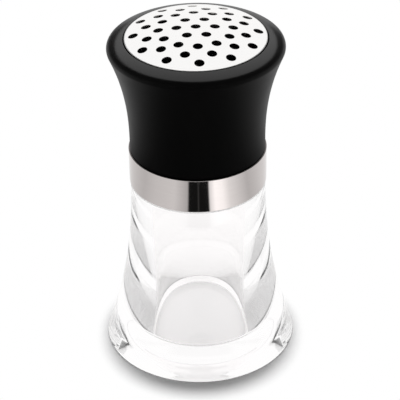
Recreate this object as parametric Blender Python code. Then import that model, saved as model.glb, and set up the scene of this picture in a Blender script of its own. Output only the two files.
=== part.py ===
"""Table shaker for dry spice: a thick glass body with a flared foot under a flared screw cap.

The cap is a black moulding pressed on a threaded insert. A polished steel band is clamped between the two,
and a domed, perforated steel plate is pressed into the rim. A soft washer seals the cap on the glass neck.
All sizes are in metres, +Z is up, and the origin is the centre of the foot's underside.
"""
import math

import bmesh
import bpy
from mathutils import Vector
from mathutils.geometry import delaunay_2d_cdt

# Shared values
fit_gap = 0.0003
round_steps = 48
arc_steps = 4
curve_steps = 9
sharp_angle = math.radians(30.0)
weld_share = 0.01

# Steel band, whose radius the glass waist, the neck, the insert and the cap's waist follow
band_radius = 0.0239
band_height = 0.0124
band_thickness = 0.0005

# Glass body
foot_radius = 0.0342
foot_edge_radius = 0.0005
waist_inset = 0.0003
body_height = 0.06465
body_flare_power = 2.15
shoulder_edge_radius = 0.0006
base_thickness = 0.0055
floor_rise = 0.0020
floor_fillet = 0.0018
cavity_widening = 0.0016
cavity_flare_power = 4.0
floor_steps = 4
neck_wall = 0.0018
neck_height = 0.0124
neck_edge_radius = 0.0005

# Screw thread between the neck and the insert
thread_starts = 4
thread_pitch = 0.0032
thread_depth = 0.0010
lug_thickness = 0.0012
lug_crest_share = 0.6
lug_sink = 0.0005
lug_steps = 10
lug_height = 0.0058

# Threaded insert
insert_wall = 0.0032
spigot_wall = 0.0015
spigot_length = 0.0105
insert_shoulder_thickness = 0.0016

# Seal washer
washer_thickness = 0.0012

# Cap moulding
cap_waist_inset = 0.00085
cap_height = 0.0413
cap_straight = 0.0024
cap_flare_power = 2.3
cap_wall = 0.0019
lip_radius = 0.03005
lip_round = 0.0021
lip_drop = 0.0032
lip_start_angle = -25.0
lip_end_angle = 75.0
rim_edge_radius = 0.0003
rim_bore_radius = 0.0244
seat_depth = 0.0030
seat_width = 0.0020
seat_thickness = 0.0015
rim_core_depth = 0.0020
rim_wall = 0.0015

# Perforated plate
plate_thickness = 0.0006
plate_corner_radius = 0.0012
plate_skirt = 0.00245
dome_rise = 0.0032
hole_radius = 0.00164
hole_sides = 10
hole_turn = 2.8
hole_ring_counts = (1, 6, 12, 12, 12)
hole_ring_radius_shares = (0.0, 0.266, 0.519, 0.706, 0.868)
hole_ring_stagger_shares = (0.0, 0.0, 0.0, 0.5, 0.0)

# Sizes that follow from those above, from the band inward and from the foot up
insert_radius = band_radius - band_thickness - fit_gap
insert_bore_radius = insert_radius - insert_wall
spigot_radius = insert_bore_radius + spigot_wall
neck_radius = insert_bore_radius - thread_depth - fit_gap
neck_bore_radius = neck_radius - neck_wall
cavity_foot_radius = neck_bore_radius + cavity_widening
waist_radius = band_radius - waist_inset
cap_waist_radius = band_radius - cap_waist_inset
neck_top = body_height + neck_height
band_bottom = body_height + fit_gap
band_top = band_bottom + band_height
insert_ledge_height = band_top - band_thickness - fit_gap
washer_bottom = neck_top + fit_gap
insert_shoulder_height = washer_bottom + washer_thickness + fit_gap
cap_bore_radius = spigot_radius + fit_gap
cap_bottom = band_top + fit_gap
spigot_top = cap_bottom + spigot_length
rim_height = cap_bottom + cap_height
lip_centre_radius = lip_radius - lip_round
lip_centre_height = rim_height - lip_drop
seat_height = rim_height - seat_depth
plate_radius = rim_bore_radius - fit_gap
plate_flat_radius = plate_radius - plate_corner_radius
plate_bottom = seat_height + fit_gap
plate_corner_height = plate_bottom + plate_skirt
plate_top = plate_corner_height + plate_corner_radius + dome_rise
dome_radius = (plate_flat_radius ** 2 + dome_rise ** 2) / (2.0 * dome_rise)
thread_lead = thread_starts * thread_pitch
weld_distance = weld_share * fit_gap


def arc(centre_radius, centre_height, radius, start, end, steps=arc_steps):
    """Points of an arc as (radius, height), with its angles in degrees from straight outward."""
    points = []
    for step in range(steps + 1):
        angle = math.radians(start + (end - start) * step / steps)
        points.append((centre_radius + radius * math.cos(angle), centre_height + radius * math.sin(angle)))
    return points


def glass_outer_radius(height):
    """Outside of the glass body, which sweeps from the foot up to a slim waist."""
    share = max(1.0 - height / body_height, 0.0)
    return waist_radius + (foot_radius - waist_radius) * share ** body_flare_power


def cavity_radius(height):
    """Inside of the glass body, which widens from the neck's bore down to the floor."""
    floor_edge = base_thickness + floor_fillet
    share = max((body_height - height) / (body_height - floor_edge), 0.0)
    return neck_bore_radius + (cavity_foot_radius - neck_bore_radius) * share ** cavity_flare_power


def cap_outer_radius(height):
    """Outside of the cap, straight over the band and then flaring out to the lip."""
    start_height = cap_bottom + cap_straight
    end_radius, end_height = arc(lip_centre_radius, lip_centre_height, lip_round, lip_start_angle, 0.0)[0]
    share = max((height - start_height) / (end_height - start_height), 0.0)
    return cap_waist_radius + (end_radius - cap_waist_radius) * share ** cap_flare_power


def curve(radius_at, low, high, steps=curve_steps):
    """Points (radius, height) of a turned curve between two heights, both included."""
    heights = [low + (high - low) * step / steps for step in range(steps + 1)]
    return [(radius_at(height), height) for height in heights]


def glass_outline():
    """Half section of the glass body, from the axis below to the axis on the cavity's domed floor."""
    edge_centre = glass_outer_radius(foot_edge_radius) - foot_edge_radius
    points = [(0.0, 0.0)]
    points += arc(edge_centre, foot_edge_radius, foot_edge_radius, -90.0, 0.0)
    points += curve(glass_outer_radius, foot_edge_radius, body_height - shoulder_edge_radius)[1:]
    shoulder_radius = waist_radius - shoulder_edge_radius
    shoulder_centre = body_height - shoulder_edge_radius
    points += arc(shoulder_radius, shoulder_centre, shoulder_edge_radius, 0.0, 90.0, 3)[1:]
    points.append((neck_radius, body_height))
    rim_centre = neck_top - neck_edge_radius
    points += arc(neck_radius - neck_edge_radius, rim_centre, neck_edge_radius, 0.0, 90.0, 2)
    points += arc(neck_bore_radius + neck_edge_radius, rim_centre, neck_edge_radius, 90.0, 180.0, 2)
    floor_edge = base_thickness + floor_fillet
    points += curve(cavity_radius, body_height, floor_edge)
    fillet_centre = cavity_foot_radius - floor_fillet
    points += arc(fillet_centre, floor_edge, floor_fillet, 0.0, -90.0)[1:]
    for step in range(floor_steps - 1, -1, -1):
        share = step / floor_steps
        points.append((fillet_centre * share, base_thickness + floor_rise * (1.0 - share ** 2)))
    return points


def insert_outline():
    """Half section of the threaded insert: a thick threaded ring, a shoulder over the neck and a spigot."""
    return [
        (insert_bore_radius, band_bottom),
        (insert_radius, band_bottom),
        (insert_radius, insert_ledge_height),
        (spigot_radius, insert_ledge_height),
        (spigot_radius, spigot_top),
        (spigot_radius - spigot_wall, spigot_top),
        (spigot_radius - spigot_wall, insert_shoulder_height + insert_shoulder_thickness),
        (neck_bore_radius, insert_shoulder_height + insert_shoulder_thickness),
        (neck_bore_radius, insert_shoulder_height),
        (insert_bore_radius, insert_shoulder_height),
    ]


def band_outline():
    """Half section of the steel band, whose top turns in over the insert's ledge."""
    return [
        (band_radius - band_thickness, band_bottom),
        (band_radius, band_bottom),
        (band_radius, band_top),
        (cap_bore_radius, band_top),
        (cap_bore_radius, band_top - band_thickness),
        (band_radius - band_thickness, band_top - band_thickness),
    ]


def washer_outline():
    """Half section of the washer between the neck's rim and the insert's shoulder."""
    washer_radius = insert_bore_radius - fit_gap
    washer_top = washer_bottom + washer_thickness
    return [
        (neck_bore_radius, washer_bottom),
        (washer_radius, washer_bottom),
        (washer_radius, washer_top),
        (neck_bore_radius, washer_top),
    ]


def cap_inner_radius(height):
    """Inside of the cap: the spigot's bore, then a wall of even thickness under the flare."""
    return max(cap_bore_radius, cap_outer_radius(height) - cap_wall)


def cap_outline():
    """Half section of the cap moulding: flared skin, rounded lip, plate seat and cored rim."""
    lip = arc(lip_centre_radius, lip_centre_height, lip_round, lip_start_angle, lip_end_angle, 6)
    seat_underside = seat_height - seat_thickness
    seat_radius = rim_bore_radius - seat_width
    rim_wall_radius = rim_bore_radius + rim_wall
    points = [(cap_waist_radius, cap_bottom)]
    points += curve(cap_outer_radius, cap_bottom + cap_straight, lip[0][1])[:-1]
    points += lip
    edge_centre = rim_height - rim_edge_radius
    points += arc(rim_bore_radius + rim_edge_radius, edge_centre, rim_edge_radius, 90.0, 180.0, 2)
    points.append((rim_bore_radius, seat_height))
    points.append((seat_radius, seat_height))
    points.append((seat_radius, seat_underside))
    points.append((rim_wall_radius, seat_underside))
    points.append((rim_wall_radius, seat_underside + rim_core_depth))
    skin_inside = lip_centre_radius + lip_round - cap_wall
    points.append((skin_inside, seat_underside + rim_core_depth))
    points += curve(cap_inner_radius, seat_underside, cap_bottom + cap_straight, 8)
    points.append((cap_bore_radius, cap_bottom))
    return points


def finish_mesh(bm, name):
    """Welds a mesh, points its faces outward and shades it smooth up to its sharp edges."""
    bmesh.ops.remove_doubles(bm, verts=bm.verts, dist=weld_distance)
    bmesh.ops.recalc_face_normals(bm, faces=bm.faces)
    mesh = bpy.data.meshes.new(name)
    bm.to_mesh(mesh)
    bm.free()
    mesh.shade_smooth()
    mesh.set_sharp_from_angle(angle=sharp_angle)
    return mesh


def add_object(name, mesh, material=None, parent=None):
    """Links a mesh, or an empty where there is none, with its material and its parent."""
    made = bpy.data.objects.new(name, mesh)
    bpy.context.collection.objects.link(made)
    if material:
        mesh.materials.append(material)
    made.parent = parent
    return made


def turned(name, outline, material, parent=None, closed=True):
    """Spins a half section about the Z axis. An open outline starts and ends on the axis."""
    bm = bmesh.new()
    verts = [bm.verts.new((radius, 0.0, height)) for radius, height in outline]
    ends = verts[1:] + verts[:1] if closed else verts[1:]
    edges = [bm.edges.new(pair) for pair in zip(verts, ends)]
    bmesh.ops.spin(
        bm,
        geom=verts + edges,
        axis=(0.0, 0.0, 1.0),
        cent=(0.0, 0.0, 0.0),
        angle=math.tau,
        steps=round_steps,
        use_merge=True,
    )
    return add_object(name, finish_mesh(bm, name), material, parent)


def thread_lugs(name, wall_radius, outward, first_height):
    """One helical lug for each start, sunk a little into the wall that carries it.

    outward is 1 for lugs on the neck's outside and -1 for lugs on the insert's inside.
    """
    bm = bmesh.new()
    step_angle = math.tau / round_steps
    for start in range(thread_starts):
        sections = []
        for step in range(lug_steps + 1):
            turn = step * step_angle
            angle = start * math.tau / thread_starts + turn
            middle = first_height + thread_lead * turn / math.tau
            depth = thread_depth * (lug_crest_share if step in (0, lug_steps) else 1.0)
            root = wall_radius - outward * lug_sink
            crest = wall_radius + outward * depth
            half_root = lug_thickness / 2.0
            half_crest = half_root * lug_crest_share
            corners = ((root, -half_root), (crest, -half_crest), (crest, half_crest), (root, half_root))
            sections.append([
                bm.verts.new((radius * math.cos(angle), radius * math.sin(angle), middle + rise))
                for radius, rise in corners
            ])
        for lower, upper in zip(sections, sections[1:]):
            for side in range(len(lower)):
                after = (side + 1) % len(lower)
                bm.faces.new((lower[side], lower[after], upper[after], upper[side]))
        bm.faces.new(sections[0])
        bm.faces.new(sections[-1])
    lugs = add_object(name, finish_mesh(bm, name))
    lugs.hide_render = True
    lugs.display_type = "WIRE"
    return lugs


def join_lugs(carrier, lugs):
    """Unites the lugs with the piece that carries them."""
    union = carrier.modifiers.new("thread lugs", "BOOLEAN")
    union.operation = "UNION"
    union.object = lugs


def hole_centres():
    """Centres of the plate's holes: one in the middle and rings around it, every second ring staggered."""
    centres = []
    rings = zip(hole_ring_counts, hole_ring_radius_shares, hole_ring_stagger_shares)
    for count, radius_share, stagger_share in rings:
        for place in range(count):
            angle = math.tau * (place + stagger_share) / count + math.radians(hole_turn)
            centres.append(Vector((math.cos(angle), math.sin(angle))) * plate_radius * radius_share)
    return centres


def circle_points(centre, radius, sides):
    """Corners of a regular polygon in the plane."""
    angles = [math.tau * side / sides for side in range(sides)]
    return [centre + Vector((math.cos(angle), math.sin(angle))) * radius for angle in angles]


def pressed_point(flat, depth):
    """Place in the pressed plate of a point of its flat blank, at a depth below the outer surface.

    The blank is flat up to the corner's start. Beyond it, its radius is measured along the corner's arc
    and then down the skirt.
    """
    reach = flat.length
    outward = flat.normalized()
    corner_length = plate_corner_radius * math.pi / 2.0
    if reach <= plate_flat_radius:
        dome_centre = plate_top - dome_radius
        rise = math.sqrt(dome_radius ** 2 - reach ** 2)
        radius, height = reach, dome_centre + rise
        normal_out, normal_up = reach / dome_radius, rise / dome_radius
    elif reach <= plate_flat_radius + corner_length:
        angle = math.pi / 2.0 - (reach - plate_flat_radius) / plate_corner_radius
        radius = plate_flat_radius + plate_corner_radius * math.cos(angle)
        height = plate_corner_height + plate_corner_radius * math.sin(angle)
        normal_out, normal_up = math.cos(angle), math.sin(angle)
    else:
        radius = plate_radius
        height = plate_corner_height - (reach - plate_flat_radius - corner_length)
        normal_out, normal_up = 1.0, 0.0
    radius -= depth * normal_out
    height -= depth * normal_up
    return Vector((outward.x * radius, outward.y * radius, height))


def plate_mesh(name):
    """A flat round blank with its holes, given its thickness and pressed into a dome with a skirt."""
    corner_length = plate_corner_radius * math.pi / 2.0
    corner_steps = 3
    reaches = [plate_flat_radius + corner_length * step / corner_steps for step in range(corner_steps + 1)]
    reaches.append(reaches[-1] + plate_skirt)
    middle = Vector((0.0, 0.0))
    centres = hole_centres()
    loops = [circle_points(middle, reach, round_steps) for reach in reaches]
    loops += [circle_points(centre, hole_radius, hole_sides) for centre in centres]
    points, edges = [], []
    for loop in loops:
        first = len(points)
        points += loop
        edges += [(first + place, first + (place + 1) % len(loop)) for place in range(len(loop))]
    verts, _, faces, _, _, _ = delaunay_2d_cdt(points, edges, [], 0, weld_distance)
    bm = bmesh.new()
    made = [bm.verts.new((vert.x, vert.y, 0.0)) for vert in verts]
    hole_flat_radius = hole_radius * math.cos(math.pi / hole_sides)
    for face in faces:
        centroid = sum((verts[corner] for corner in face), middle) / len(face)
        if all((centroid - centre).length > hole_flat_radius for centre in centres):
            bm.faces.new([made[corner] for corner in face])
    loose = [vert for vert in bm.verts if not vert.link_faces]
    bmesh.ops.delete(bm, geom=loose, context="VERTS")
    extruded = bmesh.ops.extrude_face_region(bm, geom=bm.faces[:])
    inner = {item for item in extruded["geom"] if isinstance(item, bmesh.types.BMVert)}
    for vert in bm.verts:
        depth = plate_thickness if vert in inner else 0.0
        vert.co = pressed_point(vert.co.xy, depth)
    return finish_mesh(bm, name)


def surface(name, colour, roughness, metallic=0.0, transmission=0.0):
    """A plain finish for one piece."""
    material = bpy.data.materials.new(name)
    material.use_nodes = True
    shader = material.node_tree.nodes["Principled BSDF"]
    shader.inputs["Base Color"].default_value = (*colour, 1.0)
    shader.inputs["Roughness"].default_value = roughness
    shader.inputs["Metallic"].default_value = metallic
    shader.inputs["Transmission Weight"].default_value = transmission
    return material


def clear_scene():
    for old in list(bpy.data.objects):
        bpy.data.objects.remove(old)


def main():
    clear_scene()
    cap_lift = add_object("cap_lift", None)
    cap_turn = add_object("cap_turn", None, parent=cap_lift)

    clear_glass = surface("clear glass", (0.93, 0.95, 0.95), 0.0, transmission=1.0)
    glass = turned("glass_body", glass_outline(), clear_glass, closed=False)
    neck_lug_height = body_height + lug_height
    join_lugs(glass, thread_lugs("neck_lugs", neck_radius, 1.0, neck_lug_height))

    turned("seal_washer", washer_outline(), surface("pale silicone", (0.72, 0.72, 0.70), 0.6), cap_lift)

    insert_plastic = surface("black polypropylene", (0.03, 0.03, 0.03), 0.5)
    insert = turned("thread_insert", insert_outline(), insert_plastic, cap_turn)
    insert_lug_height = neck_lug_height - thread_pitch / 2.0
    join_lugs(insert, thread_lugs("insert_lugs", insert_bore_radius, -1.0, insert_lug_height))

    band_steel = surface("polished steel band", (0.62, 0.60, 0.59), 0.12, metallic=1.0)
    turned("steel_band", band_outline(), band_steel, cap_turn)
    cap_plastic = surface("satin black plastic", (0.012, 0.012, 0.013), 0.35)
    turned("cap_shell", cap_outline(), cap_plastic, cap_turn)
    plate_surface = surface("polished steel plate", (0.80, 0.80, 0.80), 0.15, metallic=1.0)
    add_object("perforated_plate", plate_mesh("perforated_plate"), plate_surface, cap_turn)


main()
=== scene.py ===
"""Looks of a table shaker for dry spice: clear glass, black screw cap, steel band and pierced plate.

All sizes are in metres. +Z is up, and the origin is the centre of the foot's underside.
"""
import math

import bmesh
import bpy
from mathutils import Matrix, Vector


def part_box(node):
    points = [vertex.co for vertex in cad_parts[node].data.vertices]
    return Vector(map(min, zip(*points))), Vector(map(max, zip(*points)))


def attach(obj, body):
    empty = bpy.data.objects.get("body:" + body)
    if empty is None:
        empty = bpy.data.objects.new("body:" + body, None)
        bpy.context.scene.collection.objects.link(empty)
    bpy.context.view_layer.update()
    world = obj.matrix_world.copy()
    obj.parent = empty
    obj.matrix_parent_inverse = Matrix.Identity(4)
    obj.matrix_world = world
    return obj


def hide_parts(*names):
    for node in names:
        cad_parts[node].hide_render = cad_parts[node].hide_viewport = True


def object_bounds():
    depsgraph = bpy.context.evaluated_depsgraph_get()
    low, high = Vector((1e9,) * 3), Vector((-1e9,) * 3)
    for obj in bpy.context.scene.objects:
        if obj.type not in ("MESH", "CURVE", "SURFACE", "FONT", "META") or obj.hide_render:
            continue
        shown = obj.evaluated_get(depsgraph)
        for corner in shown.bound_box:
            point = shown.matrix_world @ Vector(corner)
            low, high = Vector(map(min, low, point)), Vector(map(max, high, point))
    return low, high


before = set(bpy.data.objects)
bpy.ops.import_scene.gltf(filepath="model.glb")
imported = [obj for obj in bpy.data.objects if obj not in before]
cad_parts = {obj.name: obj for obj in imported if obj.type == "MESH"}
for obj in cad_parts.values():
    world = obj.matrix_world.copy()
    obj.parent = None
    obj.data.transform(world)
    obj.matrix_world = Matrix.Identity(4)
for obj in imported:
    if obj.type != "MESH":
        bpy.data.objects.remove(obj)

cad_bounds = [list(corner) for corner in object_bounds()]
mm = 0.001

# Places read from the frame
glass_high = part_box("glass_body")[1]
washer_low, washer_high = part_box("seal_washer")
insert_low, insert_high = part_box("thread_insert")
band_low, band_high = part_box("steel_band")
cap_low, cap_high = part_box("cap_shell")
plate_low, plate_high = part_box("perforated_plate")

# Shared values: the gap between pressed pieces, how finely curves are drawn, and how corners are broken
fit_gap = 0.3 * mm
columns = 320
arc_steps = 8
curve_steps = 60
corner_steps = 4
corner_angle = math.radians(35.0)
edge_parts = 3.0
support_share = 1.25
sharp_angle = math.radians(40.0)
weld_distance = 0.001 * mm
sliver_distance = weld_distance / 10.0

# Glass body, which rests on a ring round a shallow push-up
foot_radius = 34.2 * mm
foot_edge_radius = 0.5 * mm
body_flare_power = 2.15
shoulder_edge_radius = 0.6 * mm
bearing_width = 7.5 * mm
push_up = 1.6 * mm
base_thickness = 5.5 * mm
floor_rise = 2.0 * mm
floor_fillet = 1.8 * mm
floor_steps = 16
cavity_widening = 1.6 * mm
cavity_flare_power = 4.0
neck_wall = 1.8 * mm
neck_edge_radius = 0.5 * mm
neck_rows = 80
waist_inset = 0.3 * mm

# Screw thread between neck and insert, with lugs that run part of a turn
thread_starts = 4
thread_pitch = 3.2 * mm
thread_depth = 1.0 * mm
lug_thickness = 1.2 * mm
lug_crest_share = 0.6
lug_turn = math.radians(75.0)
lug_ramp = math.radians(7.5)
lug_height = 5.8 * mm

# Steel band, threaded insert and washer
band_thickness = 0.5 * mm
band_edge_radius = 0.18 * mm
insert_wall = 3.2 * mm
spigot_wall = 1.5 * mm
insert_shoulder_thickness = 1.6 * mm
insert_edge_radius = 0.25 * mm
washer_edge_radius = 0.25 * mm

# Cap moulding
cap_waist_inset = 0.5 * mm
cap_straight = 2.4 * mm
cap_flare_power = 2.3
cap_wall = 1.9 * mm
lip_round = 2.1 * mm
lip_drop = 3.2 * mm
lip_start_angle = -25.0
lip_end_angle = 75.0
lip_steps = 2 * arc_steps
rim_edge_radius = 0.3 * mm
cap_edge_radius = 0.25 * mm
seat_depth = 3.0 * mm
seat_width = 2.0 * mm
seat_thickness = 1.5 * mm
rim_core_depth = 2.0 * mm
rim_wall = 1.5 * mm

# Perforated plate, with rings of holes round the one in its middle
plate_thickness = 0.6 * mm
plate_corner_radius = 1.2 * mm
dome_rise = 3.2 * mm
hole_radius = 1.64 * mm
hole_edge_radius = 0.15 * mm
hole_edge_share = 0.8
hole_turn = math.radians(2.8)
hole_sides = 24
hole_wall_rows = 6
rim_sides = 96
rim_rows = 24
blank_subdivisions = 2
blank_weld_distance = 0.02 * mm
ring_counts = (6, 12, 12, 12)
ring_radius_shares = (0.266, 0.519, 0.706, 0.868)
ring_stagger_shares = (0.0, 0.0, 0.5, 0.0)

# Sizes that follow from those above
body_height = band_low.z - fit_gap
neck_top = glass_high.z
waist_radius = band_high.x - waist_inset
insert_radius = band_high.x - band_thickness - fit_gap
insert_bore_radius = insert_radius - insert_wall
spigot_radius = insert_bore_radius + spigot_wall
insert_ledge_height = band_high.z - band_thickness - fit_gap
insert_shoulder_height = washer_high.z + fit_gap
neck_radius = insert_bore_radius - thread_depth - fit_gap
neck_bore_radius = neck_radius - neck_wall
cavity_foot_radius = neck_bore_radius + cavity_widening
cap_bore_radius = spigot_radius + fit_gap
cap_waist_radius = band_high.x - cap_waist_inset
lip_centre_radius = cap_high.x - lip_round
lip_centre_height = cap_high.z - lip_drop
plate_radius = plate_high.x
rim_bore_radius = plate_radius + fit_gap
seat_height = cap_high.z - seat_depth
plate_flat_radius = plate_radius - plate_corner_radius
plate_corner_height = plate_high.z - dome_rise - plate_corner_radius
plate_corner_length = plate_corner_radius * math.pi / 2.0
plate_blank_radius = plate_flat_radius + plate_corner_length + plate_corner_height - plate_low.z
dome_radius = (plate_flat_radius ** 2 + dome_rise ** 2) / (2.0 * dome_rise)
thread_lead = thread_starts * thread_pitch
neck_lug_height = body_height + lug_height

# Studio: the floor, the painted light that glass finds under itself, and the painted dark gap that it finds
# in front
fill_level = 0.22
light_bounces = 48
floor_half_width = 0.8
floor_drop = 0.05 * mm
# Painted light under the glass, seen only by mirrors and bent rays: a tone under the cavity's floor, a
# darker one under the foot, and the radius where it stops
painted_light_under_floor = 0.75
painted_light_under_foot = 0.50
under_floor_radius = 14.0 * mm
under_foot_radius = 22.0 * mm
under_edge_radius = foot_radius - 1.5 * mm
# The dark gap is painted into the surround, and only light bent by the glass sees it
gap_slope = math.tan(math.radians(26.0))
gap_height = 0.7
gap_softness = 0.08

# Contact shadow, partly painted: occlusion near the foot fades out the floor's white glow, over a reach
# that is longer towards the front as if the lamp at the back cast it, and there the floor's real shading
# shows
painted_shadow_lean = math.radians(40.0)
shadow_side_reach = 4.5 * mm
shadow_front_reach = 11.5 * mm
shadow_front_power = 1.5
shadow_core = 0.58
shadow_edge = 0.97
shadow_samples = 16

# Painted reflection cards, which glow for mirrors alone, with their step in degrees
card_step = 0.5
card_far_edge = 3000.0 * mm

# Camera, from a fit to the outline, the rims and the holes
camera_place = Vector((0.0, -509.61, 378.68)) * mm
camera_aim = Vector((0.544, 0.0, 54.776)) * mm
camera_roll = math.radians(-0.9016)
focal_pixels = 1711.2
picture_pixels = 400.0
sensor_width = 36.0


# Outlines of the turned pieces

def arc(centre_radius, centre_height, radius, start, end, steps=arc_steps):
    """Points of an arc as (radius, height), with its angles in degrees from straight outward."""
    points = []
    for step in range(steps + 1):
        angle = math.radians(start + (end - start) * step / steps)
        points.append((centre_radius + radius * math.cos(angle), centre_height + radius * math.sin(angle)))
    return points


def curve(radius_at, low, high, steps=curve_steps):
    """Points (radius, height) of a turned curve between two heights, closer together towards its ends."""
    shares = [(1.0 - math.cos(math.pi * step / steps)) / 2.0 for step in range(steps + 1)]
    return [(radius_at(low + (high - low) * share), low + (high - low) * share) for share in shares]


def wall(radius, low, high, steps=neck_rows):
    """Evenly spaced points (radius, height) of a straight wall."""
    return [(radius, low + (high - low) * step / steps) for step in range(steps + 1)]


def softened(points, radius):
    """Rounds the sharp corners of a closed half section, and closes it on its first point.

    A corner takes up at most a third of each edge beside it.
    """
    outline = []
    for place, corner in enumerate(points):
        here = Vector(corner)
        back = Vector(points[place - 1]) - here
        onward = Vector(points[(place + 1) % len(points)]) - here
        if back.angle(-onward) < corner_angle:
            outline.append(corner)
            continue
        start = here + back.normalized() * min(radius, back.length / edge_parts)
        end = here + onward.normalized() * min(radius, onward.length / edge_parts)
        outline.append(tuple(here + (start - here) * support_share))
        for step in range(corner_steps + 1):
            share = step / corner_steps
            bend = start * (1.0 - share) ** 2 + here * 2.0 * share * (1.0 - share) + end * share ** 2
            outline.append(tuple(bend))
        outline.append(tuple(here + (end - here) * support_share))
    return outline + outline[:1]


def glass_outer_radius(height):
    """Outside of the glass body, which sweeps from the foot up to a slim waist."""
    share = max(1.0 - height / body_height, 0.0)
    return waist_radius + (foot_radius - waist_radius) * share ** body_flare_power


def cavity_radius(height):
    """Inside of the glass body, which widens from the neck's bore down to the floor."""
    floor_edge = base_thickness + floor_fillet
    share = max((body_height - height) / (body_height - floor_edge), 0.0)
    return neck_bore_radius + (cavity_foot_radius - neck_bore_radius) * share ** cavity_flare_power


def domed_disc(edge_radius, edge_height, rise, shares):
    """Points of a shallow dome at the given shares of its radius, its middle a rise above its edge."""
    return [(edge_radius * share, edge_height + rise * (1.0 - share ** 2)) for share in shares]


def glass_outline():
    """Half section of the glass body, from the middle of its underside round to the cavity's floor."""
    edge_centre = glass_outer_radius(foot_edge_radius) - foot_edge_radius
    shares = [step / floor_steps for step in range(floor_steps + 1)]
    points = domed_disc(edge_centre - bearing_width, 0.0, push_up, shares)
    points += arc(edge_centre, foot_edge_radius, foot_edge_radius, -90.0, 0.0)
    points += curve(glass_outer_radius, foot_edge_radius, body_height - shoulder_edge_radius)[1:]
    shoulder_radius = waist_radius - shoulder_edge_radius
    shoulder_centre = body_height - shoulder_edge_radius
    points += arc(shoulder_radius, shoulder_centre, shoulder_edge_radius, 0.0, 90.0)[1:]
    rim_centre = neck_top - neck_edge_radius
    points += wall(neck_radius, body_height, rim_centre)[:-1]
    points += arc(neck_radius - neck_edge_radius, rim_centre, neck_edge_radius, 0.0, 90.0)
    points += arc(neck_bore_radius + neck_edge_radius, rim_centre, neck_edge_radius, 90.0, 180.0)
    floor_edge = base_thickness + floor_fillet
    points += curve(cavity_radius, body_height, floor_edge)
    fillet_centre = cavity_foot_radius - floor_fillet
    points += arc(fillet_centre, floor_edge, floor_fillet, 0.0, -90.0)[1:]
    points += domed_disc(fillet_centre, base_thickness, floor_rise, shares[-2::-1])
    return points


def insert_outline():
    """Half section of the threaded insert: a thick threaded ring, a shoulder over the neck and a spigot."""
    spigot_bore_radius = spigot_radius - spigot_wall
    shoulder_top = insert_shoulder_height + insert_shoulder_thickness
    bore_points = wall(insert_bore_radius, insert_shoulder_height, insert_low.z)
    return softened(bore_points + [
        (insert_radius, insert_low.z),
        (insert_radius, insert_ledge_height),
        (spigot_radius, insert_ledge_height),
        (spigot_radius, insert_high.z),
        (spigot_bore_radius, insert_high.z),
        (spigot_bore_radius, shoulder_top),
        (neck_bore_radius, shoulder_top),
        (neck_bore_radius, insert_shoulder_height),
    ], insert_edge_radius)


def band_outline():
    """Half section of the steel band, whose top turns in over the insert's ledge."""
    inner_radius = band_high.x - band_thickness
    return softened([
        (inner_radius, band_low.z),
        (band_high.x, band_low.z),
        (band_high.x, band_high.z),
        (cap_bore_radius, band_high.z),
        (cap_bore_radius, band_high.z - band_thickness),
        (inner_radius, band_high.z - band_thickness),
    ], band_edge_radius)


def washer_outline():
    """Half section of the washer between the neck's rim and the insert's shoulder."""
    return softened([
        (neck_bore_radius, washer_low.z),
        (washer_high.x, washer_low.z),
        (washer_high.x, washer_high.z),
        (neck_bore_radius, washer_high.z),
    ], washer_edge_radius)


def cap_outer_radius(height):
    """Outside of the cap, straight over the band and then flaring out to the lip."""
    start_height = cap_low.z + cap_straight
    end_radius, end_height = arc(lip_centre_radius, lip_centre_height, lip_round, lip_start_angle, 0.0)[0]
    share = max((height - start_height) / (end_height - start_height), 0.0)
    return cap_waist_radius + (end_radius - cap_waist_radius) * share ** cap_flare_power


def cap_inner_radius(height):
    """Inside of the cap: the spigot's bore, then a wall of even thickness under the flare."""
    return max(cap_bore_radius, cap_outer_radius(height) - cap_wall)


def cap_outline():
    """Half section of the cap moulding: flared skin, rounded lip, plate seat and cored rim."""
    lip = arc(lip_centre_radius, lip_centre_height, lip_round, lip_start_angle, lip_end_angle, lip_steps)
    seat_underside = seat_height - seat_thickness
    seat_radius = rim_bore_radius - seat_width
    rim_wall_radius = rim_bore_radius + rim_wall
    skin_inside = lip_centre_radius + lip_round - cap_wall
    edge_centre = cap_high.z - rim_edge_radius
    return softened([
        (cap_waist_radius, cap_low.z),
        *curve(cap_outer_radius, cap_low.z + cap_straight, lip[0][1])[:-1],
        *lip,
        *arc(rim_bore_radius + rim_edge_radius, edge_centre, rim_edge_radius, 90.0, 180.0),
        (rim_bore_radius, seat_height),
        (seat_radius, seat_height),
        (seat_radius, seat_underside),
        (rim_wall_radius, seat_underside),
        (rim_wall_radius, seat_underside + rim_core_depth),
        (skin_inside, seat_underside + rim_core_depth),
        *curve(cap_inner_radius, seat_underside, cap_low.z + cap_straight),
        (cap_bore_radius, cap_low.z),
    ], cap_edge_radius)


# Node trees

def add(tree, kind, inputs=None, **settings):
    """Adds a node with its settings.

    An input is linked to a socket, a node's first output or a list of nodes, and any other value is set.
    """
    node = tree.nodes.new(kind)
    for name, value in settings.items():
        setattr(node, name, value)
    for name, value in (inputs or {}).items():
        sources = value if isinstance(value, list) else [value]
        for source in sources:
            if isinstance(source, bpy.types.Node):
                source = source.outputs[0]
            if isinstance(source, bpy.types.NodeSocket):
                tree.links.new(source, node.inputs[name])
            else:
                node.inputs[name].default_value = source
    return node


def start_tree(name, sizes):
    """A Geometry Nodes tree with its named inputs, and the node that gives them."""
    tree = bpy.data.node_groups.new(name, "GeometryNodeTree")
    tree.interface.new_socket("Geometry", in_out="INPUT", socket_type="NodeSocketGeometry")
    for label, kind in sizes.items():
        tree.interface.new_socket(label, in_out="INPUT", socket_type="NodeSocket" + kind)
    tree.interface.new_socket("Geometry", in_out="OUTPUT", socket_type="NodeSocketGeometry")
    return tree, add(tree, "NodeGroupInput")


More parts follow.
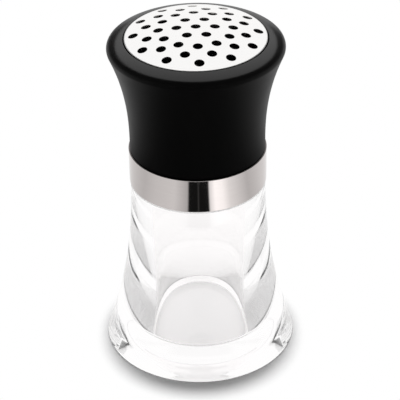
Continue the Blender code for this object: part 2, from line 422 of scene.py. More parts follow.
def end_tree(tree, given, shape, distance):
    """Welds the shape, shades it smooth, makes it real and gives it its material."""
    welded = add(tree, "GeometryNodeMergeByDistance", {"Geometry": shape, "Distance": distance})
    smooth = add(tree, "GeometryNodeSetShadeSmooth", {"Geometry": welded})
    real = add(tree, "GeometryNodeRealizeInstances", {"Geometry": smooth})
    finished = add(tree, "GeometryNodeSetMaterial", {
        "Geometry": real,
        "Material": given.outputs["Material"],
    })
    add(tree, "NodeGroupOutput", {"Geometry": finished})


def unit_grid(tree, across, along):
    """A grid to be bent round Z, the angle of each of its points and their share of the way along."""
    seam = add(tree, "ShaderNodeMath", {0: across, 1: 1.0}, operation="ADD")
    grid = add(tree, "GeometryNodeMeshGrid", {
        "Size X": 1.0,
        "Size Y": 1.0,
        "Vertices X": seam,
        "Vertices Y": along,
    })
    place = add(tree, "ShaderNodeSeparateXYZ", {0: add(tree, "GeometryNodeInputPosition")})
    angle = add(tree, "ShaderNodeMath", {
        0: place.outputs["X"],
        1: math.tau,
        2: math.pi,
    }, operation="MULTIPLY_ADD")
    share = add(tree, "ShaderNodeMath", {0: place.outputs["Y"], 1: 0.5}, operation="ADD")
    return grid, angle, share


def bent(tree, grid, angle, radius, height):
    """The grid with each point at its angle, radius and height."""
    cosine = add(tree, "ShaderNodeMath", {0: angle}, operation="COSINE")
    sine = add(tree, "ShaderNodeMath", {0: angle}, operation="SINE")
    x = add(tree, "ShaderNodeMath", {0: cosine, 1: radius}, operation="MULTIPLY")
    y = add(tree, "ShaderNodeMath", {0: sine, 1: radius}, operation="MULTIPLY")
    place = add(tree, "ShaderNodeCombineXYZ", {"X": x, "Y": y, "Z": height})
    return add(tree, "GeometryNodeSetPosition", {"Geometry": grid, "Position": place})


def turned_tree():
    """Turns a half section about Z, and raises helical thread lugs on the wall of one radius."""
    tree, given = start_tree("turned piece", {
        "Columns": "Int",
        "Thread Starts": "Int",
        "Thread Lead": "Float",
        "Thread Depth": "Float",
        "Wall Radius": "Float",
        "Lug Height": "Float",
        "Lug Root": "Float",
        "Lug Crest": "Float",
        "Lug Turn": "Float",
        "Lug Ramp": "Float",
        "Weld Distance": "Float",
        "Material": "Material",
    })
    given_size = given.outputs
    rows = add(tree, "GeometryNodeAttributeDomainSize", {"Geometry": given_size["Geometry"]})
    grid, angle, share = unit_grid(tree, given_size["Columns"], rows)
    last_row = add(tree, "ShaderNodeMath", {0: rows, 1: 1.0}, operation="SUBTRACT")
    row = add(tree, "ShaderNodeMath", {0: share, 1: last_row}, operation="MULTIPLY")
    section = add(tree, "GeometryNodeSampleIndex", {
        "Geometry": given_size["Geometry"],
        "Value": add(tree, "GeometryNodeInputPosition"),
        "Index": add(tree, "FunctionNodeFloatToInt", {0: row}, rounding_mode="ROUND"),
    }, data_type="FLOAT_VECTOR")
    point = add(tree, "ShaderNodeSeparateXYZ", {0: section})
    radius, height = point.outputs["X"], point.outputs["Z"]

    start_angle = add(tree, "ShaderNodeMath", {
        0: math.tau,
        1: given_size["Thread Starts"],
    }, operation="DIVIDE")
    turn = add(tree, "ShaderNodeMath", {0: angle, 1: start_angle}, operation="FLOORED_MODULO")
    climb = add(tree, "ShaderNodeMath", {0: given_size["Thread Lead"], 1: math.tau}, operation="DIVIDE")
    middle = add(tree, "ShaderNodeMath", {
        0: turn,
        1: climb,
        2: given_size["Lug Height"],
    }, operation="MULTIPLY_ADD")
    offset = add(tree, "ShaderNodeMath", {0: height, 1: middle}, operation="SUBTRACT")
    distance = add(tree, "ShaderNodeMath", {0: offset}, operation="ABSOLUTE")
    flank = add(tree, "ShaderNodeMapRange", {
        "Value": distance,
        "From Min": given_size["Lug Root"],
        "From Max": given_size["Lug Crest"],
    }, interpolation_type="SMOOTHSTEP")
    lead_in = add(tree, "ShaderNodeMapRange", {
        "Value": turn,
        "From Min": 0.0,
        "From Max": given_size["Lug Ramp"],
    }, interpolation_type="SMOOTHSTEP")
    full_turn = add(tree, "ShaderNodeMath", {
        0: given_size["Lug Turn"],
        1: given_size["Lug Ramp"],
    }, operation="SUBTRACT")
    run_out = add(tree, "ShaderNodeMapRange", {
        "Value": turn,
        "From Min": given_size["Lug Turn"],
        "From Max": full_turn,
    }, interpolation_type="SMOOTHSTEP")
    on_wall = add(tree, "FunctionNodeCompare", {
        "A": radius,
        "B": given_size["Wall Radius"],
        "Epsilon": given_size["Weld Distance"],
    }, operation="EQUAL")
    raised = given_size["Thread Depth"]
    for factor in (flank, lead_in, run_out, on_wall):
        raised = add(tree, "ShaderNodeMath", {0: raised, 1: factor}, operation="MULTIPLY")
    threaded_radius = add(tree, "ShaderNodeMath", {0: radius, 1: raised}, operation="ADD")
    shape = bent(tree, grid, angle, threaded_radius, height)
    end_tree(tree, given, shape, given_size["Weld Distance"])
    return tree


def perforated_sheet(tree, given_size, centres, open_radius, height):
    """One face of the blank: a flat disc whose holes are open, as fine triangles."""
    hole = add(tree, "GeometryNodeCurvePrimitiveCircle", {
        "Resolution": given_size["Hole Sides"],
        "Radius": open_radius,
    })
    holes = add(tree, "GeometryNodeInstanceOnPoints", {"Points": centres, "Instance": hole})
    outline = add(tree, "GeometryNodeCurvePrimitiveCircle", {
        "Resolution": given_size["Rim Sides"],
        "Radius": given_size["Flat Radius"],
    })
    real_holes = add(tree, "GeometryNodeRealizeInstances", {"Geometry": holes})
    curves = add(tree, "GeometryNodeJoinGeometry", {"Geometry": [outline, real_holes]})
    filled = add(tree, "GeometryNodeFillCurve", {"Curve": curves}, mode="TRIANGLES")
    fine = add(tree, "GeometryNodeSubdivideMesh", {"Mesh": filled, "Level": given_size["Subdivisions"]})
    lift = add(tree, "ShaderNodeCombineXYZ", {"Z": height})
    return add(tree, "GeometryNodeTransform", {"Geometry": fine, "Translation": lift})


def perforated_blank_tree():
    """Makes the plate's flat blank: rings of punched holes with rounded upper edges, and a bare margin."""
    ring_sizes = {}
    for number in range(1, len(ring_counts) + 1):
        ring_sizes[f"Ring {number} Holes"] = "Int"
        ring_sizes[f"Ring {number} Radius"] = "Float"
        ring_sizes[f"Ring {number} Turn"] = "Float"
    tree, given = start_tree("perforated blank", {
        "Flat Radius": "Float",
        "Blank Radius": "Float",
        "Thickness": "Float",
        "Hole Radius": "Float",
        "Edge Radius": "Float",
        "Hole Sides": "Int",
        "Rim Sides": "Int",
        "Rim Rows": "Int",
        "Subdivisions": "Int",
        "Weld Distance": "Float",
        **ring_sizes,
        "Material": "Material",
    })
    given_size = given.outputs
    rings = [add(tree, "GeometryNodeMeshLine", {"Count": 1})]
    for number in range(1, len(ring_counts) + 1):
        ring = add(tree, "GeometryNodeMeshCircle", {
            "Vertices": given_size[f"Ring {number} Holes"],
            "Radius": given_size[f"Ring {number} Radius"],
        })
        turn = add(tree, "ShaderNodeCombineXYZ", {"Z": given_size[f"Ring {number} Turn"]})
        rings.append(add(tree, "GeometryNodeTransform", {"Geometry": ring, "Rotation": turn}))
    centres = add(tree, "GeometryNodeJoinGeometry", {"Geometry": rings})

    underside = add(tree, "ShaderNodeMath", {0: given_size["Thickness"], 1: -1.0}, operation="MULTIPLY")
    edge, hole = given_size["Edge Radius"], given_size["Hole Radius"]
    open_radius = add(tree, "ShaderNodeMath", {0: hole, 1: edge}, operation="ADD")
    upper = perforated_sheet(tree, given_size, centres, open_radius, 0.0)
    lower = perforated_sheet(tree, given_size, centres, hole, underside)

    split = add(tree, "ShaderNodeMath", {0: 2.0, 1: given_size["Subdivisions"]}, operation="POWER")
    wall_sides = add(tree, "ShaderNodeMath", {0: given_size["Hole Sides"], 1: split}, operation="MULTIPLY")
    grid, angle, share = unit_grid(tree, wall_sides, hole_wall_rows)
    rounding = add(tree, "ShaderNodeMapRange", {
        "Value": share,
        "From Max": hole_edge_share,
        "To Max": math.pi / 2.0,
    })
    sine = add(tree, "ShaderNodeMath", {0: rounding}, operation="SINE")
    cosine = add(tree, "ShaderNodeMath", {0: rounding}, operation="COSINE")
    inward = add(tree, "ShaderNodeMath", {0: edge, 1: sine}, operation="MULTIPLY")
    radius = add(tree, "ShaderNodeMath", {0: open_radius, 1: inward}, operation="SUBTRACT")
    sunk = add(tree, "ShaderNodeMath", {0: edge, 1: cosine}, operation="MULTIPLY")
    level = add(tree, "ShaderNodeMath", {0: sunk, 1: edge}, operation="SUBTRACT")
    wall_end = add(tree, "ShaderNodeMath", {0: underside, 1: edge}, operation="ADD")
    wall_drop = add(tree, "ShaderNodeMapRange", {
        "Value": share,
        "From Min": hole_edge_share,
        "To Max": wall_end,
    })
    height = add(tree, "ShaderNodeMath", {0: level, 1: wall_drop}, operation="ADD")
    hole_wall = bent(tree, grid, angle, radius, height)
    walls = add(tree, "GeometryNodeInstanceOnPoints", {"Points": centres, "Instance": hole_wall})
    real_walls = add(tree, "GeometryNodeRealizeInstances", {"Geometry": walls})

    rim_columns = add(tree, "ShaderNodeMath", {0: given_size["Rim Sides"], 1: split}, operation="MULTIPLY")
    grid, angle, share = unit_grid(tree, rim_columns, given_size["Rim Rows"])
    radius = add(tree, "ShaderNodeMapRange", {
        "Value": share,
        "To Min": given_size["Flat Radius"],
        "To Max": given_size["Blank Radius"],
    })
    upper_margin = bent(tree, grid, angle, radius, 0.0)
    lower_margin = bent(tree, grid, angle, radius, underside)
    grid, angle, share = unit_grid(tree, rim_columns, 2)
    height = add(tree, "ShaderNodeMath", {0: share, 1: underside}, operation="MULTIPLY")
    edge_wall = bent(tree, grid, angle, given_size["Blank Radius"], height)
    shape = add(tree, "GeometryNodeJoinGeometry", {
        "Geometry": [upper, lower, real_walls, upper_margin, lower_margin, edge_wall],
    })
    end_tree(tree, given, shape, given_size["Weld Distance"])
    return tree


def made_by(tree, name, mesh, sizes):
    """Runs a tree on a mesh and leaves its result as a plain, closed mesh object with outward faces."""
    piece = bpy.data.objects.new(name, mesh)
    bpy.context.collection.objects.link(piece)
    modifier = piece.modifiers.new(tree.name, "NODES")
    modifier.node_group = tree
    for item in tree.interface.items_tree:
        if item.in_out == "INPUT" and item.name in sizes:
            modifier[item.identifier] = sizes[item.name]
    depsgraph = bpy.context.evaluated_depsgraph_get()
    result = bpy.data.meshes.new_from_object(piece.evaluated_get(depsgraph), depsgraph=depsgraph)
    piece.modifiers.clear()
    piece.data = result
    result.name = name
    point_outward(result)
    return piece


def point_outward(mesh):
    """Turns all faces of a closed mesh outward."""
    bm = bmesh.new()
    bm.from_mesh(mesh)
    bmesh.ops.dissolve_degenerate(bm, edges=bm.edges, dist=sliver_distance)
    bmesh.ops.recalc_face_normals(bm, faces=bm.faces)
    bm.to_mesh(mesh)
    bm.free()
    mesh.set_sharp_from_angle(angle=sharp_angle)


def section_mesh(name, outline):
    """A half section as a chain of points in the XZ plane."""
    mesh = bpy.data.meshes.new(name)
    points = [(radius, 0.0, height) for radius, height in outline]
    mesh.from_pydata(points, [(place, place + 1) for place in range(len(points) - 1)], [])
    return mesh


def turned(tree, name, outline, material, wall_radius=0.0, depth=0.0, lug_middle=0.0):
    """A turned piece, with thread lugs of the given depth where its wall has the given radius."""
    return made_by(tree, name, section_mesh(name + "_section", outline), {
        "Columns": columns,
        "Thread Starts": thread_starts,
        "Thread Lead": thread_lead,
        "Thread Depth": depth,
        "Wall Radius": wall_radius,
        "Lug Height": lug_middle,
        "Lug Root": lug_thickness / 2.0,
        "Lug Crest": lug_thickness * lug_crest_share / 2.0,
        "Lug Turn": lug_turn,
        "Lug Ramp": lug_ramp,
        "Weld Distance": weld_distance,
        "Material": material,
    })


def pressed_point(flat):
    """Where a point of the flat blank ends up once pressed: in the dome, the corner or the skirt."""
    reach = math.hypot(flat.x, flat.y)
    if reach <= plate_flat_radius:
        rise = math.sqrt(dome_radius ** 2 - reach ** 2)
        radius, height = reach, plate_high.z - dome_radius + rise
        normal_out, normal_up = reach / dome_radius, rise / dome_radius
    elif reach <= plate_flat_radius + plate_corner_length:
        angle = math.pi / 2.0 - (reach - plate_flat_radius) / plate_corner_radius
        radius = plate_flat_radius + plate_corner_radius * math.cos(angle)
        height = plate_corner_height + plate_corner_radius * math.sin(angle)
        normal_out, normal_up = math.cos(angle), math.sin(angle)
    else:
        radius = plate_radius
        height = plate_corner_height - (reach - plate_flat_radius - plate_corner_length)
        normal_out, normal_up = 1.0, 0.0
    radius += flat.z * normal_out
    height += flat.z * normal_up
    outward = Vector((flat.x, flat.y, 0.0)).normalized()
    return outward * radius + Vector((0.0, 0.0, height))


def perforated_plate(material):
    """The plate: a punched flat blank, pressed into a dome with a rounded corner and a skirt."""
    sizes = {
        "Flat Radius": plate_flat_radius,
        "Blank Radius": plate_blank_radius,
        "Thickness": plate_thickness,
        "Hole Radius": hole_radius,
        "Edge Radius": hole_edge_radius,
        "Hole Sides": hole_sides,
        "Rim Sides": rim_sides,
        "Rim Rows": rim_rows,
        "Subdivisions": blank_subdivisions,
        "Weld Distance": blank_weld_distance,
        "Material": material,
    }
    rings = zip(ring_counts, ring_radius_shares, ring_stagger_shares)
    for number, (count, radius_share, stagger_share) in enumerate(rings, 1):
        sizes[f"Ring {number} Holes"] = count
        sizes[f"Ring {number} Radius"] = radius_share * plate_radius
        sizes[f"Ring {number} Turn"] = hole_turn + stagger_share * math.tau / count
    blank = section_mesh("blank_guide", [(0.0, 0.0)])
    plate = made_by(perforated_blank_tree(), "pierced_plate", blank, sizes)
    for vert in plate.data.vertices:
        vert.co = pressed_point(vert.co)
    plate.data.set_sharp_from_angle(angle=sharp_angle)
    return plate


# Finishes

def colour(code):
    """Linear colour of an sRGB hex code."""
    shares = [int(code[place:place + 2], 16) / 255.0 for place in (1, 3, 5)]
    linear = [share / 12.92 if share <= 0.04045 else ((share + 0.055) / 1.055) ** 2.4 for share in shares]
    return (*linear, 1.0)


def start_finish(name, **sockets):
    """A material, its tree and its shader, with the constant values set on the shader's own sockets."""
    material = bpy.data.materials.new(name)
    material.use_nodes = True
    shader = material.node_tree.nodes["Principled BSDF"]
    for socket, value in sockets.items():
        shader.inputs[socket.replace("_", " ").title().replace("Ior", "IOR")].default_value = value
    return material, material.node_tree, shader


def round_z(tree, length, spacing):
    """Coordinates that run round the Z axis and up it, for marks of a length and a spacing."""
    place = add(tree, "ShaderNodeSeparateXYZ", {0: add(tree, "ShaderNodeTexCoord").outputs["Object"]})
    across = add(tree, "ShaderNodeMath", {0: place.outputs["X"], 1: 2.0}, operation="POWER")
    deep = add(tree, "ShaderNodeMath", {0: place.outputs["Y"], 1: 2.0}, operation="POWER")
    square = add(tree, "ShaderNodeMath", {0: across, 1: deep}, operation="ADD")
    radius = add(tree, "ShaderNodeMath", {0: square, 1: 0.5}, operation="POWER")
    outward = add(tree, "ShaderNodeCombineXYZ", {"X": place.outputs["X"], "Y": place.outputs["Y"]})
    around = add(tree, "ShaderNodeVectorMath", {0: outward, "Scale": 1.0 / length}, operation="SCALE")
    flat = add(tree, "ShaderNodeSeparateXYZ", {0: around})
    line = add(tree, "ShaderNodeMath", {0: place.outputs["Z"], 1: radius}, operation="ADD")
    level = add(tree, "ShaderNodeMath", {0: line, 1: 1.0 / spacing}, operation="MULTIPLY")
    return add(tree, "ShaderNodeCombineXYZ", {
        "X": flat.outputs["X"],
        "Y": flat.outputs["Y"],
        "Z": level,
    })


def clear_glass():
    """Soda-lime glass, pressed and fire polished: clear, colourless, with a faint swell from the mould."""
    material, tree, shader = start_finish(
        "clear_soda_lime_glass",
        base_color=colour("#fffefe"),
        transmission_weight=1.0,
        roughness=0.0,
        ior=1.52,
    )
    swell_length = 11.0 * mm
    swell_depth = 0.015 * mm
    place = add(tree, "ShaderNodeTexCoord")
    swell = add(tree, "ShaderNodeTexNoise", {
        "Vector": place.outputs["Object"],
        "Scale": 1.0 / swell_length,
        "Detail": 1.0,
        "Roughness": 0.3,
    })
    bump = add(tree, "ShaderNodeBump", {"Height": swell, "Strength": 1.0, "Distance": swell_depth})
    tree.links.new(bump.outputs["Normal"], shader.inputs["Normal"])
    return material


def satin_black_plastic():
    """ABS, moulded in a spark-eroded tool: deep black with a fine grain that spreads its highlights."""
    material, tree, shader = start_finish(
        "satin_black_abs",
        base_color=colour("#050404"),
        specular_ior_level=0.38,
        ior=1.54,
    )
    # The grain is drawn coarser than the real one, so that it shows.
    grain_width = 0.35 * mm
    grain_depth = 0.01 * mm
    handling_width = 9.0 * mm
    place = add(tree, "ShaderNodeTexCoord")
    handling = add(tree, "ShaderNodeTexNoise", {
        "Vector": place.outputs["Object"],
        "Scale": 1.0 / handling_width,
        "Detail": 3.0,
    })
    roughness = add(tree, "ShaderNodeMapRange", {"Value": handling, "To Min": 0.30, "To Max": 0.40})
    tree.links.new(roughness.outputs["Result"], shader.inputs["Roughness"])
    grain = add(tree, "ShaderNodeTexNoise", {
        "Vector": place.outputs["Object"],
        "Scale": 1.0 / grain_width,
        "Detail": 2.0,
    })
    bump = add(tree, "ShaderNodeBump", {"Height": grain, "Strength": 0.25, "Distance": grain_depth})
    tree.links.new(bump.outputs["Normal"], shader.inputs["Normal"])
    return material


def polished_band_steel():
    """Stainless steel, polished on a lathe: a bright mirror with faint lines that run round it."""
    material, tree, shader = start_finish("polished_stainless_band", metallic=1.0)
    # The lines are drawn wider apart than the real ones, so that they show.
    line_length = 12.0 * mm
    line_spacing = 0.12 * mm
    line_depth = 0.002 * mm
    lines = add(tree, "ShaderNodeTexNoise", {
        "Vector": round_z(tree, line_length, line_spacing),
        "Scale": 1.0,
        "Detail": 3.0,
        "Roughness": 0.6,
    })
    tone = add(tree, "ShaderNodeMix", {
        "Factor": lines,
        "A": colour("#c9c2c0"),
        "B": colour("#d6d0ce"),
    }, data_type="RGBA")
    tree.links.new(tone.outputs["Result"], shader.inputs["Base Color"])
    roughness = add(tree, "ShaderNodeMapRange", {"Value": lines, "To Min": 0.04, "To Max": 0.12})
    tree.links.new(roughness.outputs["Result"], shader.inputs["Roughness"])
    bump = add(tree, "ShaderNodeBump", {"Height": lines, "Strength": 0.15, "Distance": line_depth})
    tree.links.new(bump.outputs["Normal"], shader.inputs["Normal"])
    return material


def polished_plate_steel():
    """Stainless steel sheet, buffed after punching: almost white, with hairlines from wiping."""
    material, tree, shader = start_finish(
        "buffed_stainless_plate",
        base_color=colour("#f9f8f7"),
        metallic=1.0,
    )
    # The hairlines are drawn coarser than the real ones, so that they show.
    hairline_angle = math.radians(35.0)
    hairline_length = 9.0 * mm
    hairline_spacing = 0.2 * mm
    hairline_rise = 2.0 * mm
    hairline_depth = 0.002 * mm
    place = add(tree, "ShaderNodeTexCoord")
    stretched = add(tree, "ShaderNodeMapping", {
        "Vector": place.outputs["Object"],
        "Rotation": (0.0, 0.0, hairline_angle),
        "Scale": (1.0 / hairline_length, 1.0 / hairline_spacing, 1.0 / hairline_rise),
    })
    hairlines = add(tree, "ShaderNodeTexNoise", {"Vector": stretched, "Scale": 1.0, "Detail": 4.0})
    roughness = add(tree, "ShaderNodeMapRange", {"Value": hairlines, "To Min": 0.10, "To Max": 0.22})
    tree.links.new(roughness.outputs["Result"], shader.inputs["Roughness"])
    bump = add(tree, "ShaderNodeBump", {
        "Height": hairlines,
        "Strength": 0.1,
        "Distance": hairline_depth,
    })
    tree.links.new(bump.outputs["Normal"], shader.inputs["Normal"])
    return material


def black_polypropylene():
    """Polypropylene, moulded in a plain tool: black, a little waxy, with faint flow marks."""
    material, tree, shader = start_finish(
        "black_polypropylene",
        base_color=colour("#141414"),
        ior=1.49,
    )
    flow_length = 6.0 * mm
    flow_spacing = 1.5 * mm
    flow_depth = 0.02 * mm
    flow = add(tree, "ShaderNodeTexNoise", {
        "Vector": round_z(tree, flow_length, flow_spacing),
        "Scale": 1.0,
        "Detail": 2.0,
    })
    roughness = add(tree, "ShaderNodeMapRange", {"Value": flow, "To Min": 0.38, "To Max": 0.52})
    tree.links.new(roughness.outputs["Result"], shader.inputs["Roughness"])
    bump = add(tree, "ShaderNodeBump", {"Height": flow, "Strength": 0.2, "Distance": flow_depth})
    tree.links.new(bump.outputs["Normal"], shader.inputs["Normal"])
    return material


def pale_silicone():
    """Silicone rubber, compression moulded: pale, soft to the eye and slightly see-through at its edges."""
    material, tree, shader = start_finish(
        "pale_silicone",
        base_color=colour("#d8d7d2"),
        subsurface_weight=0.3,
        subsurface_scale=1.0 * mm,
        ior=1.41,
    )
    bloom_width = 1.2 * mm
    bloom_depth = 0.02 * mm
    place = add(tree, "ShaderNodeTexCoord")
    bloom = add(tree, "ShaderNodeTexNoise", {
        "Vector": place.outputs["Object"],
        "Scale": 1.0 / bloom_width,
        "Detail": 3.0,
    })
    roughness = add(tree, "ShaderNodeMapRange", {"Value": bloom, "To Min": 0.5, "To Max": 0.65})
    tree.links.new(roughness.outputs["Result"], shader.inputs["Roughness"])
    bump = add(tree, "ShaderNodeBump", {"Height": bloom, "Strength": 0.2, "Distance": bloom_depth})
    tree.links.new(bump.outputs["Normal"], shader.inputs["Normal"])
    return material


# Pieces

def fit(piece, body, node):
    """Lets a piece ride on its body in place of its plain solid."""
    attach(piece, body)
    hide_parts(node)


def build_pieces():
    """Makes the six pieces: body, washer, insert, band, cap and plate."""
    turning = turned_tree()
    glass = turned(
        turning,
        "clear_body",
        glass_outline(),
        clear_glass(),
        wall_radius=neck_radius,
        depth=thread_depth,
        lug_middle=neck_lug_height,
    )
    fit(glass, "container", "glass_body")

    washer = turned(turning, "washer_ring", washer_outline(), pale_silicone())
    fit(washer, "seal", "seal_washer")

    insert_lug_height = neck_lug_height - thread_pitch / 2.0
    insert = turned(
        turning,
        "threaded_collar",
        insert_outline(),
        black_polypropylene(),
        wall_radius=insert_bore_radius,
        depth=-thread_depth,
        lug_middle=insert_lug_height,
    )
    fit(insert, "cap", "thread_insert")

    band = turned(turning, "polished_band", band_outline(), polished_band_steel())
    fit(band, "cap", "steel_band")

    shell = turned(turning, "black_cap", cap_outline(), satin_black_plastic())
    fit(shell, "cap", "cap_shell")

    plate = perforated_plate(polished_plate_steel())
    fit(plate, "cap", "perforated_plate")


# Studio

def white_floor():
    """A pale floor: white away from the object, where it glows, with a partly painted shadow close to the
    foot, where the glow fades and the real shading shows.

    Under the glass, where only mirror and bent rays see it, it carries painted shade: lighter under the
    middle and darker out towards the foot's edge.
    """
    half = floor_half_width
    mesh = bpy.data.meshes.new("floor")
    corners = [(-half, -half, 0.0), (half, -half, 0.0), (half, half, 0.0), (-half, half, 0.0)]
    mesh.from_pydata(corners, [], [(0, 1, 2, 3)])
    floor = bpy.data.objects.new("floor", mesh)
    bpy.context.collection.objects.link(floor)
    floor.location.z = -floor_drop
    material, tree, shader = start_finish(
        "pale_floor",
        base_color=colour("#f7f7f7"),
        roughness=0.7,
        specular_ior_level=0.0,
    )
    coordinates = add(tree, "ShaderNodeTexCoord")
    # Painted contact shadow: occlusion near the foot, leaned to the back and reaching further in front,
    # fades the floor's white glow
    outward = add(tree, "ShaderNodeVectorMath", {0: coordinates.outputs["Object"]}, operation="NORMALIZE")
    direction = add(tree, "ShaderNodeSeparateXYZ", {0: outward})
    forward = add(tree, "ShaderNodeMath", {
        0: direction.outputs["Y"],
        1: -1.0,
    }, operation="MULTIPLY", use_clamp=True)
    front = add(tree, "ShaderNodeMath", {0: forward, 1: shadow_front_power}, operation="POWER")
    reach = add(tree, "ShaderNodeMapRange", {
        "Value": front,
        "To Min": shadow_side_reach,
        "To Max": shadow_front_reach,
    })
    towards_light = add(tree, "ShaderNodeCombineXYZ", {
        "Y": math.sin(painted_shadow_lean),
        "Z": math.cos(painted_shadow_lean),
    })
    painted_shadow_occlusion = add(tree, "ShaderNodeAmbientOcclusion", {
        "Distance": reach,
        "Normal": towards_light,
    }, samples=shadow_samples)
    clear = add(tree, "ShaderNodeMapRange", {
        "Value": painted_shadow_occlusion.outputs["AO"],
        "From Min": shadow_core,
        "From Max": shadow_edge,
    })
    # Painted light under the glass, graded by distance from the middle; only mirror and bent rays see it
    distance = add(tree, "ShaderNodeVectorMath", {0: coordinates.outputs["Object"]}, operation="LENGTH")
    painted_under_glass = add(tree, "ShaderNodeMapRange", {
        "Value": distance.outputs["Value"],
        "From Min": under_floor_radius,
        "From Max": under_foot_radius,
        "To Min": painted_light_under_floor,
        "To Max": painted_light_under_foot,
    })
    under = add(tree, "ShaderNodeMath", {
        0: distance.outputs["Value"],
        1: under_edge_radius,
    }, operation="LESS_THAN")
    painted_beneath = add(tree, "ShaderNodeMath", {0: painted_under_glass, 1: under}, operation="MULTIPLY")
    lit = add(tree, "ShaderNodeMath", {0: painted_beneath, 1: clear}, operation="MAXIMUM")
    path = add(tree, "ShaderNodeLightPath")
    mirrored = add(tree, "ShaderNodeMath", {
        0: path.outputs["Is Glossy Ray"],
        1: path.outputs["Is Transmission Ray"],
    }, operation="MAXIMUM")
    by_piece = add(tree, "ShaderNodeMath", {0: mirrored, 1: lit}, operation="MULTIPLY")
    direct = add(tree, "ShaderNodeMath", {
        0: path.outputs["Is Camera Ray"],
        1: clear,
    }, operation="MULTIPLY")
    seen = add(tree, "ShaderNodeMath", {0: by_piece, 1: direct}, operation="MAXIMUM")
    glow = add(tree, "ShaderNodeEmission", {"Strength": 1.0})
    mixed = add(tree, "ShaderNodeMixShader", {0: seen, 1: shader, 2: glow})
    tree.links.new(mixed.outputs[0], tree.nodes["Material Output"].inputs["Surface"])
    mesh.materials.append(material)


def tone_at(stops, angle):
    """The tone at an angle, between the stops (angle, tone) beside it."""
    for (start, low), (end, high) in zip(stops, stops[1:]):
        if angle <= end:
            return low + (high - low) * (angle - start) / (end - start)
    return stops[-1][1]


def painted_reflection_card(name, height, near, far, stops):
    """A level glowing card round the piece that paints reflections: only mirrors show it.

    It is graded between its stops, which are pairs of degrees from the front and tone.
    """
    start, end = stops[0][0], stops[-1][0]
    card_columns = round((end - start) / card_step)
    points, tones, faces = [], [], []
    for column in range(card_columns + 1):
        angle = start + (end - start) * column / card_columns
        turn = math.radians(angle)
        for distance in (near, far):
            points.append((distance * math.sin(turn), -distance * math.cos(turn), height))
            tones.append(tone_at(stops, angle))
        if column:
            low = 2 * column
            faces.append((low - 2, low - 1, low + 1, low))
    mesh = bpy.data.meshes.new(name)
    mesh.from_pydata(points, [], faces)
    mesh.attributes.new("tone", "FLOAT", "POINT").data.foreach_set("value", tones)
    made = bpy.data.objects.new(name, mesh)
    bpy.context.collection.objects.link(made)
    material = bpy.data.materials.new(name)
    material.use_nodes = True
    tree = material.node_tree
    tree.nodes.remove(tree.nodes["Principled BSDF"])
    tone = add(tree, "ShaderNodeAttribute", attribute_name="tone")
    glow = add(tree, "ShaderNodeEmission", {"Strength": tone.outputs["Fac"]})
    tree.links.new(glow.outputs[0], tree.nodes["Material Output"].inputs["Surface"])
    mesh.materials.append(material)
    # Seen by mirrors alone, the card lights nothing and casts no shadow
    made.visible_camera = False
    made.visible_diffuse = False
    made.visible_transmission = False
    made.visible_shadow = False


def softbox(name, place, size, power):
    """A large soft lamp aimed at the object's middle, which gives no highlight of its own."""
    lamp = bpy.data.lights.new(name, "AREA")
    lamp.shape = "RECTANGLE"
    lamp.size, lamp.size_y = size
    lamp.energy = power
    made = bpy.data.objects.new(name, lamp)
    bpy.context.collection.objects.link(made)
    made.location = place
    aim = Vector((0.0, 0.0, cad_bounds[1][2] / 2.0))
    made.rotation_euler = (aim - made.location).to_track_quat("-Z", "Y").to_euler()
    made.visible_glossy = False
    made.visible_transmission = False


def white_surround():
    """A white world, at full strength where it is seen and lower where it fills the shadows.

    Light bent by the glass finds a painted dark gap in front, which nothing else sees and which gives the
    thick walls their grey parts.
    """
    world = bpy.data.worlds.new("white_surround")
    bpy.context.scene.world = world
    world.use_nodes = True
    tree = world.node_tree
    fill = tree.nodes["Background"]
    fill.inputs["Color"].default_value = (1.0, 1.0, 1.0, 1.0)
    fill.inputs["Strength"].default_value = fill_level
    white = add(tree, "ShaderNodeBackground", {"Color": (1.0, 1.0, 1.0, 1.0), "Strength": 1.0})
    path = add(tree, "ShaderNodeLightPath")
    mirrored = add(tree, "ShaderNodeMath", {
        0: path.outputs["Is Camera Ray"],
        1: path.outputs["Is Glossy Ray"],
    }, operation="MAXIMUM")
    seen = add(tree, "ShaderNodeMath", {
        0: mirrored,
        1: path.outputs["Is Transmission Ray"],
    }, operation="MAXIMUM")
    # Painted dark gap in front, seen only by light bent by the glass
    coordinates = add(tree, "ShaderNodeTexCoord")
    direction = add(tree, "ShaderNodeSeparateXYZ", {0: coordinates.outputs["Generated"]})
    side = add(tree, "ShaderNodeMath", {0: direction.outputs["X"]}, operation="ABSOLUTE")
    front = add(tree, "ShaderNodeMath", {0: direction.outputs["Y"], 1: -gap_slope}, operation="MULTIPLY")
    distance = add(tree, "ShaderNodeMath", {0: front, 1: side}, operation="SUBTRACT")
    between = add(tree, "ShaderNodeMapRange", {
        "Value": distance,
        "From Min": -gap_softness,
        "From Max": gap_softness,
    })
    below = add(tree, "ShaderNodeMapRange", {
        "Value": direction.outputs["Z"],
        "From Min": gap_height + gap_softness,
        "From Max": gap_height - gap_softness,
    })
    gap = add(tree, "ShaderNodeMath", {0: between, 1: below}, operation="MULTIPLY")
    dark = add(tree, "ShaderNodeMath", {
        0: gap,
        1: path.outputs["Is Transmission Ray"],
    }, operation="MULTIPLY")
    lit = add(tree, "ShaderNodeMath", {0: 1.0, 1: dark}, operation="SUBTRACT")
    tree.links.new(lit.outputs[0], white.inputs["Strength"])
    mixed = add(tree, "ShaderNodeMixShader", {0: seen, 1: fill, 2: white})
    tree.links.new(mixed.outputs[0], tree.nodes["World Output"].inputs["Surface"])


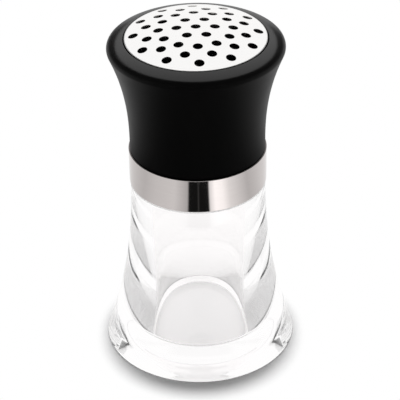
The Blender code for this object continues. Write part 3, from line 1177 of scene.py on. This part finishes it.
def build_studio():
    """The floor, the surround, one lamp, and a glowing card each that paints the reflections in the band,
    cap and lip.
    """
    white_floor()
    white_surround()
    softbox("back_softbox", place=Vector((0.0, 0.45, 0.8)), size=(0.5, 0.5), power=4.0)
    # Painted reflections in the band: a dark strip straight in front with a faint line in its middle, a
    # glow brighter than white just to its right, and greys round the sides
    painted_reflection_card("band_painted_reflection", height=50.0 * mm, near=38.0 * mm, far=80.0 * mm, stops=[
        (-150.0, 1.0), (-120.0, 0.85), (-80.0, 0.7), (-60.0, 0.82), (-32.0, 0.9), (-22.0, 0.74),
        (-14.4, 0.6), (-12.2, 0.01), (-1.2, 0.01), (-0.4, 0.05), (0.4, 0.05), (1.2, 0.01),
        (12.9, 0.01), (15.0, 1.1), (22.0, 1.6), (32.0, 1.5), (42.0, 1.1), (56.0, 0.9),
        (72.0, 0.68), (100.0, 0.85), (150.0, 1.0),
    ])
    # Painted dark reflection over the cap: near black in front, greyer towards the back
    painted_reflection_card("cap_painted_reflection", height=77.5 * mm, near=23.4 * mm, far=card_far_edge, stops=[
        (-170.0, 0.6), (-120.0, 0.5), (-75.0, 0.17), (-50.0, 0.05), (0.0, 0.02), (50.0, 0.065),
        (75.0, 0.19), (120.0, 0.48), (170.0, 0.6),
    ])
    # Painted reflection for the cap's lip: dark round the front and sides, white behind
    lip_card_height = cap_high.z + 1.0 * mm
    painted_reflection_card("lip_painted_reflection", height=lip_card_height, near=28.0 * mm, far=card_far_edge, stops=[
        (-135.0, 1.0), (-122.0, 0.1), (0.0, 0.05), (112.0, 0.1), (125.0, 1.0),
    ])


def build_camera():
    """The photograph's viewpoint, lens and small roll."""
    back = (camera_place - camera_aim).normalized()
    right = Vector((0.0, 0.0, 1.0)).cross(back).normalized()
    up = back.cross(right)
    cosine, sine = math.cos(camera_roll), math.sin(camera_roll)
    axes = (right * cosine + up * sine, up * cosine - right * sine, back)
    matrix = Matrix(axes).transposed().to_4x4()
    matrix.translation = camera_place
    camera = bpy.data.cameras.new("camera")
    camera.sensor_width = sensor_width
    camera.lens = focal_pixels / picture_pixels * sensor_width
    camera.clip_start = 1.0 * mm
    made = bpy.data.objects.new("camera", camera)
    bpy.context.collection.objects.link(made)
    made.matrix_world = matrix
    bpy.context.scene.camera = made


build_pieces()
build_studio()
build_camera()
bpy.context.scene.view_settings.view_transform = "Standard"
cycles = bpy.context.scene.cycles
cycles.max_bounces = cycles.glossy_bounces = cycles.transmission_bounces = light_bounces
